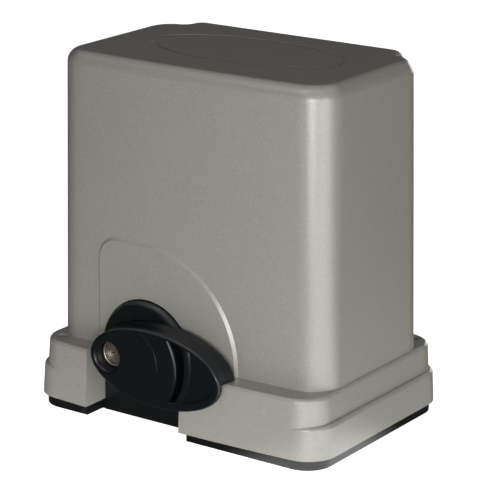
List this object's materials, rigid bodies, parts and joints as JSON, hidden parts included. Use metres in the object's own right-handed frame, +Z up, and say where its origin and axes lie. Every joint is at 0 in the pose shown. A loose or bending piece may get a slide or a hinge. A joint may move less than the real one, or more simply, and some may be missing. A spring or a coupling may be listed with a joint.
{
  "type": "sliding gate motor",
  "caption": "Foot-mounted sliding gate motor: moulded cover over a worm-geared vertical motor, rear drive pinion, and a keyed quarter-turn release handle in front.",
  "frame": {"origin": "centre of the foot's flat underside", "axes": "+X to the right along the front, +Y to the rear where the pinion is, +Z up"},
  "size_m": [0.289, 0.2415, 0.301],
  "materials": {
    "cover_plastic": "silver-grey fine-textured moulding",
    "cast_black": "black painted die-casting",
    "handle_plastic": "black glass-filled nylon, satin",
    "steel": "turned and ground steel",
    "zinc_steel": "zinc-plated steel",
    "lock_chrome": "nickel-plated brass",
    "bronze": "machined bronze",
    "rubber": "black rubber",
    "aluminium": "cast aluminium",
    "lamination": "varnished laminations",
    "winding": "varnished copper wire",
    "board": "green solder mask",
    "black_plastic": "black moulded plastic",
    "terminal_green": "green moulded plastic",
    "capacitor_white": "white plastic can"
  },
  "bodies": {
    "frame": {"cover": "cover_plastic", "cover_screws": "zinc_steel", "gear_housing": "cast_black", "rear_bearing_cover": "cast_black", "rear_cover_screws": "zinc_steel", "oil_seal": "rubber", "front_shaft_bearing": "steel", "rear_shaft_bearing": "steel", "worm_lower_bearing": "steel", "worm_upper_bearing": "steel", "motor_top_bearing": "steel", "motor_flange": "aluminium", "motor_flange_screws": "zinc_steel", "stator_core": "lamination", "stator_winding": "winding", "motor_top_shield": "aluminium", "motor_through_bolts": "zinc_steel", "board_bracket": "zinc_steel", "bracket_screws": "zinc_steel", "control_board": "board", "board_standoffs": "black_plastic", "relays": "black_plastic", "terminal_blocks": "terminal_green", "processor": "black_plastic", "transformer": "lamination", "run_capacitor": "capacitor_white", "capacitor_clamp": "zinc_steel", "sensor_bracket": "zinc_steel", "limit_sensor": "black_plastic", "cable_grommet": "rubber"},
    "rotor": {"worm_shaft": "steel", "rotor_core": "lamination"},
    "wheel": {"worm_wheel": "bronze", "wheel_bush": "bronze"},
    "output": {"output_shaft": "steel", "shaft_key": "steel", "shaft_spacer": "steel", "drive_pinion": "steel", "pinion_spacer": "steel", "pinion_washer": "zinc_steel", "pinion_screw": "zinc_steel", "clutch_spring": "steel"},
    "clutch": {"clutch_sleeve": "steel", "clutch_pin": "steel"},
    "release": {"cam_follower": "steel", "release_rod": "steel"},
    "handle": {"release_handle": "handle_plastic", "handle_pin": "steel", "release_spindle": "steel", "lock_barrel": "lock_chrome", "lock_ring": "lock_chrome"},
    "lock": {"lock_plug": "lock_chrome", "lock_cam": "zinc_steel"}
  },
  "joints": [
    {"name": "motor_turn", "type": "hinge", "parent": "frame", "child": "rotor", "pos_m": [0.01575, 0, 0.15], "axis": [0, 0, 1], "continuous": true},
    {"name": "wheel_turn", "type": "hinge", "parent": "frame", "child": "wheel", "pos_m": [-0.034, 0, 0.061], "axis": [0, 1, 0], "continuous": true},
    {"name": "output_turn", "type": "hinge", "parent": "frame", "child": "output", "pos_m": [-0.034, 0.06, 0.061], "axis": [0, 1, 0], "continuous": true},
    {"name": "handle_turn", "type": "hinge", "parent": "frame", "child": "handle", "pos_m": [-0.034, -0.09, 0.061], "axis": [0, -1, 0], "range_deg": [0, 90]},
    {"name": "release_slide", "type": "slide", "parent": "frame", "child": "release", "axis": [0, 1, 0], "range_m": [0, 0.005]},
    {"name": "clutch_slide", "type": "slide", "parent": "output", "child": "clutch", "axis": [0, 1, 0], "range_m": [0, 0.005], "deforming": ["clutch_spring"]},
    {"name": "lock_turn", "type": "hinge", "parent": "handle", "child": "lock", "pos_m": [-0.0557, -0.095, 0.0611], "axis": [0, -1, 0], "range_deg": [0, 90]}
  ],
  "couplings": [
    {"joint": "wheel_turn", "follows": "motor_turn", "ratio": 0.032258},
    {"joint": "output_turn", "follows": "motor_turn", "ratio": 0.032258},
    {"joint": "release_slide", "follows": "handle_turn", "m_per_rad": 0.003183},
    {"joint": "clutch_slide", "follows": "handle_turn", "m_per_rad": 0.003183}
  ]
}
